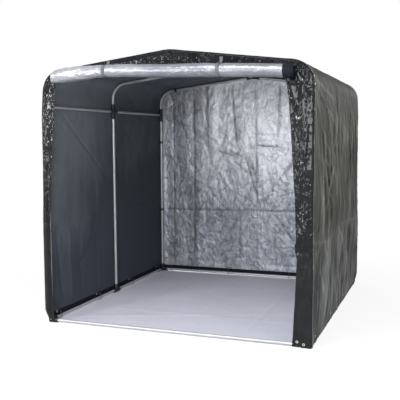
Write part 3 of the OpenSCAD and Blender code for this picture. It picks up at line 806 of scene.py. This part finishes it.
# the flaps' cut edges, as (height, distance from the middle)
LEFT_EDGE = [(0.00, 1.032), (0.07, 1.034), (0.21, 1.040), (0.43, 1.047), (0.61, 1.047), (0.83, 1.045),
             (1.01, 1.035), (1.25, 1.017), (1.51, 0.999), (1.77, 0.981), (1.94, 0.965), (2.00, 0.962)]
RIGHT_EDGE = [(0.00, 0.948), (0.35, 0.967), (0.66, 0.980), (0.715, 0.960), (0.77, 0.972), (1.06, 0.962),
              (1.42, 0.939), (1.76, 0.915), (1.92, 0.893), (2.00, 0.888)]
CORNER_FROM = WALL_L - 0.06                     # the panel's corners: between these places on the hoop
CORNER_MID = WALL_L + ARC_L / 2
CORNER_TO = WALL_L + ARC_L + 0.06


def doorway_x(z, right):
    """Half width of the doorway at a height; the cut edges wave a little."""
    left_x = sum(np.interp(z + d, *zip(*LEFT_EDGE)) for d in (-0.03, 0, 0.03)) / 3
    right_x = sum(np.interp(z + d, *zip(*RIGHT_EDGE)) for d in (-0.015, 0, 0.015)) / 3
    return np.where(right, right_x, left_x) + 0.002 * swell(z * 9, np.where(right, 3.0, 8.0))


def doorway_edge(s):
    """The point on the doorway's edge that faces a place on the hoop."""
    right = s > HALF_L
    t = from_hem(s)
    px, pz = profile(s)[:2]
    rise = np.clip((t - CORNER_FROM) / (CORNER_MID - CORNER_FROM), 0, 1)
    corner_z = BEND_Z + CORNER_FROM - WALL_L
    z = np.where(t < CORNER_FROM, pz, corner_z + rise * (front_low.z - corner_z))
    over = np.clip((t - CORNER_MID) / (CORNER_TO - CORNER_MID), 0, 1)
    end_x = np.abs(profile(np.array(CORNER_TO))[0])
    x = np.where(t < CORNER_TO, doorway_x(z, right) * (1 - over) + end_x * over, np.abs(px))
    return np.where(right, x, -x), z


# the front's folds, as (from x, from z, to x, to z, height, width)
FLAP_LINES = [(1.09, 0.70, 0.97, 0.69, -0.0110, 0.010), (-1.09, 0.77, -1.03, 0.75, -0.0080, 0.010),
              (1.08, 0.66, 1.00, 0.40, 0.0035, 0.012), (1.05, 0.62, 1.03, 0.10, 0.0030, 0.010),
              (1.00, 1.78, 1.04, 1.30, 0.0050, 0.012), (0.95, 1.60, 1.00, 1.05, 0.0050, 0.010),
              (1.07, 1.60, 1.00, 0.98, -0.0045, 0.012), (0.98, 0.95, 1.06, 0.78, 0.0050, 0.012),
              (0.92, 1.88, 0.98, 1.70, 0.0050, 0.012), (-1.08, 1.80, -1.02, 1.55, 0.0045, 0.010),
              (-1.03, 1.50, -1.06, 1.15, -0.0045, 0.010), (-1.08, 1.20, -1.05, 0.80, 0.0045, 0.010),
              (-1.06, 0.76, -1.09, 0.45, 0.0045, 0.012), (-1.04, 1.88, -1.00, 1.72, 0.0050, 0.010),
              (-0.70, 2.06, -0.10, 2.12, 0.0040, 0.014), (0.10, 2.13, 0.60, 2.06, 0.0045, 0.014),
              (-0.20, 2.10, 0.20, 2.06, -0.0035, 0.012)]
KINK_Z = 0.78                                   # the flaps are pulled in here, and hang flat below
FITTING_X = 1.03                                # the corner fittings start here
BEHIND_X, BEHIND_Z = 0.99, 1.90                 # the roll hangs within this width, over this height


def front_push(x, z):
    """How far the front panel stands out from the front hoop."""
    flap = smooth((1.86 - z) / 0.12)
    calm = (1 - 0.7 * smooth((KINK_Z - 0.02 - z) / 0.08)) * (0.45 + 0.55 * flap)
    folds = flap * 0.0055 * swell(x * 21 + 0.6 * swell(x * 4, z * 3), z * 1.6, 0.0, 4.0)
    folds = folds + (1 - flap) * 0.0040 * swell(x * 3.5, z * 16, 0.1, 5.0)
    press = 0.0070 * (crumple(x * 9, z * 6.5, 2, 0.3, 2.0) - 0.72)
    press = press + 0.0030 * (crumple(x * 26, z * 17, 2, 0.7) - 0.72)
    push = 0.002 + (folds + press) * calm + creases(x, z, FLAP_LINES)
    turned_out = np.where(x < 0, 0.13 * np.clip(x + 1.062, 0, 0.05), 0.12 * np.clip(x - 0.985, 0, 0.06))
    turned_out = turned_out * flap * smooth((z - KINK_Z) / 0.10)
    pouch = 0.010 * hump(z - 0.80, 0.06) * smooth((x - 0.97) / 0.02) * (1 - smooth((x - 1.03) / 0.03))
    push = push + pouch + turned_out * (0.6 + 0.6 * swell(x * 2, z * 5, 0, 7.0))
    at_side = smooth((np.abs(x) - FITTING_X) / 0.02)
    over_tube = np.maximum(at_side, smooth((z - roof_line(x) + 0.06) / 0.02))
    fitting = at_side * np.maximum(z < 0.13, np.abs(z - RAIL_Z) < 0.10)
    fitting = np.maximum(fitting, (np.abs(x) < 0.10) & (z > roof_line(x) - 0.08))
    push = np.maximum(push, -0.012 + 0.008 * over_tube + 0.0045 * fitting) * smooth((z - 0.068) / 0.05)
    behind_roll = smooth((roll_high.z + 0.05 - z) / 0.03) * (np.abs(x) < BEHIND_X) * (z > BEHIND_Z)
    return np.where(behind_roll > 0, np.minimum(push, 0.001 + 0.02 * (1 - behind_roll)), push)


def front_points(s, column, lift=0.0):
    """Outer face of the front panel. Columns below 0 lie on the side and round the corner, in
    metres from the front face; from 0 to 1 they cross the front to the doorway's edge."""
    px, pz, nx, nz = profile(s)
    corner = cover_out(s, np.full_like(s, SEAM_Y))
    face_x, face_z = px - nx * CORNER_R, pz - nz * CORNER_R
    edge_x, edge_z = doorway_edge(s)
    f = np.clip(column, 0, 1)
    x, z = face_x * (1 - f) + edge_x * f, face_z * (1 - f) + edge_z * f
    width = np.hypot(edge_x - face_x, edge_z - face_z)
    to_edge = (1 - f) * width
    hem = 0.0007 * smooth((0.020 - to_edge) / 0.003) - 0.0005 * hump(to_edge - 0.015, 0.0025)
    hem = hem * (z > 0.075) - 0.0002
    keep = smooth(f * width / 0.03)
    out = corner * (1 - keep) + front_push(x, z) * keep + (hem if lift == 0 else 0) + lift
    turn = np.clip((CORNER_R * QUARTER + column) / CORNER_R, 0, QUARTER)
    turn = np.where(column >= 0, QUARTER, turn)
    reach = CORNER_R + out + 0.0006 * (1 - turn / QUARTER)
    flange = np.clip(-column - CORNER_R * QUARTER, 0, None)
    aside = reach * np.cos(turn) * (column < 0)
    points = np.stack([x + nx * aside, SEAM_Y + flange - reach * np.sin(turn), z + nz * aside], -1)
    cut = np.stack([x - nx * np.minimum(column, 0), z - nz * np.minimum(column, 0)], -1)
    return points, cut


flap_black = black_coating("flap_black_coating", shine=0.18, crinkle=1.0, calm_from=0.84, calm_to=0.50,
                           worn=(0.014, 0.015, 0.017))
fascia_black = black_coating("fascia_black_coating", shine=0.08, crinkle=1.0, calm_from=0.76, calm_to=0.68,
                             worn=(0.014, 0.015, 0.017))


def front_piece(name, node, finish, s_from, s_to, flat, area):
    """A length of the front panel round the hoop. Its first columns lie over the cover's edge."""
    corner = -CORNER_R * QUARTER
    columns = np.concatenate([[corner - OVERLAP, corner - 0.0005], np.linspace(corner, 0, 6)[:-1],
                              np.linspace(0, 1, 20)])
    steps = round((s_to - s_from) / FRONT_STEP) + 1
    s, column = np.meshgrid(np.linspace(s_from, s_to, steps), columns, indexing="ij")
    outside, cut = front_points(s, column)
    inside = front_points(s, column, -THIN_CLOTH)[0]
    piece = grid(name, [outside[::-1], inside[::-1]], cut[::-1], [finish, silver])
    settle(piece, node, "crinkled_cover", flat=flat, held="hung", rests_on=["cover_ties"], area=area)


front_piece("left_flap_cloth", "left_flap", flap_black, FRONT_FOOT, CORNER_MID, (0.20, 2.00), 0.24)
front_piece("front_gable_cloth", "front_gable", fascia_black, CORNER_MID, 2 * HALF_L - CORNER_MID,
            (2.30, 0.30), 0.42)
front_piece("right_flap_cloth", "right_flap", flap_black, 2 * HALF_L - CORNER_MID, 2 * HALF_L - FRONT_FOOT,
            (0.25, 2.00), 0.38)


# Door: a coated panel, rolled up outward so that its silver inner face shows. The zip tape
# down its right side ends the roll as a dark band; the left end is rolled looser.
ROLL_LEFT = roll_low.x + 0.082                  # this end lies behind the corner of the fascia
ROLL_RIGHT = roll_high.x + 0.022
DOOR_W = ROLL_RIGHT - ROLL_LEFT
DOOR_L = 1.95                                   # height of the door that is rolled up
TURNS = 10.4
LOOSE_TURNS = 1.15                              # the outer ones, which show, get finer steps
ZIP_W = 0.072                                   # width of the dark band
MEAN_R = 0.045                                  # turns an angle round the roll into a length
roll_y = (roll_low.y + roll_high.y) / 2 - 0.009
DOOR_STEP = 0.0125
STRAPS_X = (-0.4905, 0.4195)
# how the roll sags and swells, as (x, height of its axis, radius)
ROLL_LINE = [(-0.938, 1.988, 0.049), (-0.874, 1.995, 0.053), (-0.740, 2.003, 0.056), (-0.566, 2.012, 0.048),
             (-0.354, 2.011, 0.050), (-0.028, 1.997, 0.051), (0.284, 1.990, 0.052), (0.582, 1.979, 0.050),
             (0.833, 1.966, 0.048), (0.905, 1.960, 0.048), (0.950, 1.957, 0.046), (0.964, 1.956, 0.040)]


def roll_shape(x):
    """Height of the roll's axis and its outer radius along the door's width."""
    places, heights, radii = zip(*ROLL_LINE)
    axis_z, radius = np.interp(x, places, heights), np.interp(x, places, radii)
    for strap_x in STRAPS_X:
        radius = radius - 0.0035 * hump(x - strap_x, 0.03)
    return axis_z, radius


def roll_dents(x, angle):
    """Creases and flats of the roll; angle is 0 at the back, and rises over the front."""
    share = (x - ROLL_LEFT) / DOOR_W
    loose = 0.30 + 0.70 * smooth((0.42 - share) / 0.35)
    front = np.sin(np.clip(angle, 0, 2 * math.pi) / 2) ** 0.5
    length = angle * MEAN_R
    flats = 0.0110 * (crumple(x * 6.5 + length * 5, length * 9, 2, 0.25, 1.0) - 0.74)
    flats = flats + 0.0070 * pinch(x * 7 + length * 6, length * 12, 0.15, 0.6, 3.0) * loose
    fine = 0.0060 * (crumple(x * 19, length * 21, 2, 0.6, 5.0) - 0.74)
    spiral = 0.0022 * swell(x * 5 + length * 14, length * 3)
    return front * (loose * (flats + spiral) + (0.35 + 0.65 * loose) * fine)


turns = np.concatenate([np.linspace(0, LOOSE_TURNS, 76), np.linspace(LOOSE_TURNS, TURNS, 250)[1:]])
turned = turns * 2 * math.pi
columns = round(DOOR_W / DOOR_STEP)
x, angle = np.meshgrid(np.linspace(ROLL_LEFT, ROLL_RIGHT, columns + 1), turned, indexing="ij")
axis_z, outer = roll_shape(x)
mean = DOOR_L / (2 * math.pi * TURNS)
inner = 2 * mean - outer
radius = outer - (outer - inner) * angle / turned[-1]
radius = radius * (1 + roll_dents(x, angle % (2 * math.pi)) / outer)
START = -0.25                                    # the cloth comes off the fascia just under the axis
lies = START - angle
hem_lift = 0.0006 * (angle > turned[-1] - 0.3)
slanted = x + 0.016 * np.sin(lies) * np.exp((ROLL_LEFT - x) / 0.05)
door_points = np.stack([slanted, roll_y + (radius + hem_lift) * np.cos(lies),
                        axis_z + radius * np.sin(lies)], -1)
door_silver = Finish("door_silver", Metallic=0.60, Coat_Weight=0.2, Coat_Roughness=0.15)
cut = door_silver.where("UV")
broad = cut.noise(3, 4, 0.6)
pinched = cut.noise(30, 6, 0.62, "RIDGED_MULTIFRACTAL", 0.7)
# painted highlight: the silver is lighter towards the roll's loose left end
painted_highlight_left = cut.axis(0).between(-0.2, -0.9, 0.0, 0.25)
shade = (broad * 0.7 + pinched * 0.2 + painted_highlight_left).ramp((0.3, 0), (0.90, 1))
door_silver.feed("Base Color", shade.tint((0.16, 0.165, 0.19), (0.47, 0.48, 0.53)))
door_silver.feed("Roughness", broad * 0.12 + pinched * 0.05 + 0.29)
door_silver.bump(pinched * 0.5 + broad * 0.4, 0.55, 0.007)
rolled_door = grid("rolled_door_cloth", [door_points], np.stack([slanted, angle * MEAN_R], -1),
                   [door_silver, hem_black])
middles = (np.repeat(np.arange(columns), len(turned) - 1) + 0.5) / columns * DOOR_W
zips = middles > DOOR_W - ZIP_W
rolled_door.data.polygons.foreach_set("material_index", zips.astype(np.int32))
settle(rolled_door, "rolled_door", "door_lining", flat=(DOOR_W, DOOR_L), held="folded",
       rests_on=["door_straps"])


# Straps: two dark grey woven straps sewn to the fascia under the eave. Each goes down over
# the front of the roll and back up behind it.
webbing = Finish("grey_webbing", Specular_IOR_Level=0.35)
cut = webbing.where("UV")
ribs = cut.node("TexWave", {"bands_direction": "DIAGONAL"}, Vector=cut, Scale=160, Distortion=0.4)
faded = cut.noise(20, 4)
webbing.feed("Base Color", (ribs * 0.4 + faded * 0.6).tint((0.060, 0.064, 0.068), (0.125, 0.13, 0.135)))
webbing.feed("Roughness", faded * 0.2 + 0.55)
webbing.bump(ribs, 0.5, 0.001)
STRAP_W = 0.025
STRAP_T = 0.0014
for side, strap_x, below_edge in zip(("left", "right"), STRAPS_X, (0.006, 0.026)):
    axis_z, outer = roll_shape(np.array(strap_x))
    ring_r = float(outer) + 2 * STRAP_T
    face_y = front_low.y - 0.0016
    top_z = roof_line(np.array(strap_x)) - below_edge
    ring = np.linspace(math.radians(62), math.radians(318), 46)
    ring_points = np.stack([roll_y + ring_r * np.cos(ring), axis_z + ring_r * np.sin(ring)], -1)
    drop = np.linspace(0, 1, 12)[:-1, None]
    tab = np.array([[face_y, top_z]]) * (1 - drop) + np.array([[face_y, axis_z + ring_r + 0.012]]) * drop
    path = np.concatenate([tab, ring_points])
    for first, last in ((8, 14), (9, 13)):       # eases the bend from the tab into the ring
        path[first:last] = (path[first - 1:last - 1] + path[first:last] + path[first + 1:last + 1]) / 3
    length = np.concatenate([[0], np.cumsum(np.hypot(*np.diff(path, axis=0).T))])
    across = np.linspace(-STRAP_W / 2, STRAP_W / 2, 5)
    points = np.stack([np.broadcast_to(strap_x + across, (len(path), 5)),
                       np.repeat(path[:, :1], 5, 1), np.repeat(path[:, 1:], 5, 1)], -1)
    n = normals(points)
    strap = grid(f"{side}_door_strap", [points + n * STRAP_T / 2, points - n * STRAP_T / 2],
                 np.stack(np.meshgrid(length, across, indexing="ij"), -1), [webbing])
    settle(strap, "door_straps", "webbing", flat=(STRAP_W, float(length[-1])), held="folded",
           rests_on=["rolled_door_cloth"])


# Ties and eyelets: elastic cord loops with a ball round the tubes on the ground, cloth loops
# round the back hoop, and nickel rings pressed through the hem and the flaps.
nickel = Finish("nickel_plate", Metallic=1.0)
place = nickel.where()
worn = place.noise(120, 4, 0.6)
nickel.feed("Base Color", worn.tint((0.50, 0.49, 0.47), (0.70, 0.69, 0.67)))
nickel.feed("Roughness", worn * 0.2 + 0.22)
nickel.bump(worn, 0.1, 0.0004)
give(nickel, "eyelets")
elastic = Finish("tie_black", Specular_IOR_Level=0.4)
place = elastic.where()
braid = place.node("TexWave", {"bands_direction": "DIAGONAL"}, Vector=place, Scale=260, Distortion=0.6)
elastic.feed("Base Color", place.noise(60, 3).tint((0.006, 0.006, 0.007), (0.016, 0.016, 0.018)))
elastic.feed("Roughness", braid * 0.15 + 0.45)
elastic.bump(braid, 0.3, 0.0006)
give(elastic, "cover_ties")


# Floor and surround: a plain pale floor that keeps the shelter's shadow near it and shows
# white farther out, and an even white surround.
floor_mesh = bpy.data.meshes.new("floor")
floor_mesh.from_pydata([(-40, -40, 0), (40, -40, 0), (40, 40, 0), (-40, 40, 0)], [], [(0, 1, 2, 3)])
floor = bpy.data.objects.new("floor", floor_mesh)
floor.location.z = -0.001
bpy.context.scene.collection.objects.link(floor)


def backdrop(nodes_of, output_kind):
    """Starts a floor or world tree. Gives its output, and 1 on rays that show the backdrop."""
    nodes_of.use_nodes = True
    tree = nodes_of.node_tree
    tree.nodes.clear()
    output = tree.nodes.new(output_kind)
    rays = tree.nodes.new("ShaderNodeLightPath").outputs
    seen = Wire(rays["Is Camera Ray"])
    for kind in ("Is Glossy Ray", "Is Transmission Ray"):
        seen = seen.math("MAXIMUM", seen, Wire(rays[kind]))
    return output.inputs["Surface"], seen


ground = bpy.data.materials.new("floor_white")
surface, seen = backdrop(ground, "ShaderNodeOutputMaterial")
lit = seen.node("BsdfDiffuse", Color=(0.90, 0.90, 0.90, 1))
glow = seen.node("Emission", Color=(1, 1, 1, 1), Strength=1.0)
place = Wire(ground.node_tree.nodes.new("ShaderNodeTexCoord").outputs["Object"])
far_off = place.node("VectorMath", {"operation": "LENGTH"}, out=1, _0=place)
away = far_off.between(1.6, 3.6, 0.84, 1.0, "SMOOTHSTEP")
blend = seen.node("MixShader", _0=seen * away, _1=lit, _2=glow)
ground.node_tree.links.new(blend.socket, surface)
floor_mesh.materials.append(ground)

AMBIENT = 0.64
world = bpy.data.worlds.new("surround")
bpy.context.scene.world = world
surface, seen = backdrop(world, "ShaderNodeOutputWorld")
sky = seen.node("Background", Color=(1, 1, 1, 1), Strength=seen * (1 - AMBIENT) + AMBIENT)
world.node_tree.links.new(sky.socket, surface)


# Lamps and camera: a large soft key lamp and one overhead, small ones from the left whose
# glints show the crinkles, a weak one on the right wall, and two behind for the back wall.
def lamp(name, where, target, size, watts):
    """A round lamp that faces a target."""
    light = bpy.data.lights.new(name, "AREA")
    light.shape = "DISK"
    light.size = size
    light.energy = watts
    holder = bpy.data.objects.new(name, light)
    holder.location = where
    holder.rotation_euler = (Vector(target) - Vector(where)).to_track_quat("-Z", "Y").to_euler()
    bpy.context.scene.collection.objects.link(holder)


lamp("key_lamp", (1.5, -6.8, 2.3), (-0.2, 0.4, 1.1), 2.6, 240)
lamp("top_lamp", (-0.2, -4.2, 4.8), (0.0, -0.3, 0.0), 2.4, 145)
lamp("left_lamp", (-3.0, -6.0, 2.4), (0.0, -1.1, 1.3), 0.70, 105)
lamp("low_left_lamp", (-2.0, -6.2, 0.8), (0.6, -1.1, 0.9), 0.45, 36)
lamp("far_left_lamp", (-5.7, -4.9, 2.0), (-1.0, -1.1, 1.3), 0.60, 75)
lamp("side_lamp", (5.2, -4.6, 3.4), (1.0, 0.0, 1.0), 2.0, 45)
lamp("back_lamp", (3.2, 6.0, 3.0), (0.0, 1.1, 1.0), 1.4, 90)
lamp("back_left_lamp", (-2.6, 6.0, 2.4), (0.0, 1.1, 1.0), 1.2, 60)

CAMERA_AT = (1.9733, -5.7995, 1.5028)
camera_data = bpy.data.cameras.new("camera")
camera_data.sensor_width = 36
camera_data.lens = 60.308
camera = bpy.data.objects.new("camera", camera_data)
YAW, TILT, ROLL = math.radians(20.407), math.radians(5.281), math.radians(-0.362)
forward = Vector((-math.sin(YAW) * math.cos(TILT), math.cos(YAW) * math.cos(TILT), -math.sin(TILT)))
right = Vector((math.cos(YAW), math.sin(YAW), 0))
up = right.cross(forward)
right, up = right * math.cos(ROLL) + up * math.sin(ROLL), up * math.cos(ROLL) - right * math.sin(ROLL)
turn = Matrix((right, up, -forward)).transposed()
camera.matrix_world = Matrix.Translation(CAMERA_AT) @ turn.to_4x4()
bpy.context.scene.collection.objects.link(camera)
bpy.context.scene.camera = camera
bpy.context.scene.view_settings.view_transform = "Standard"
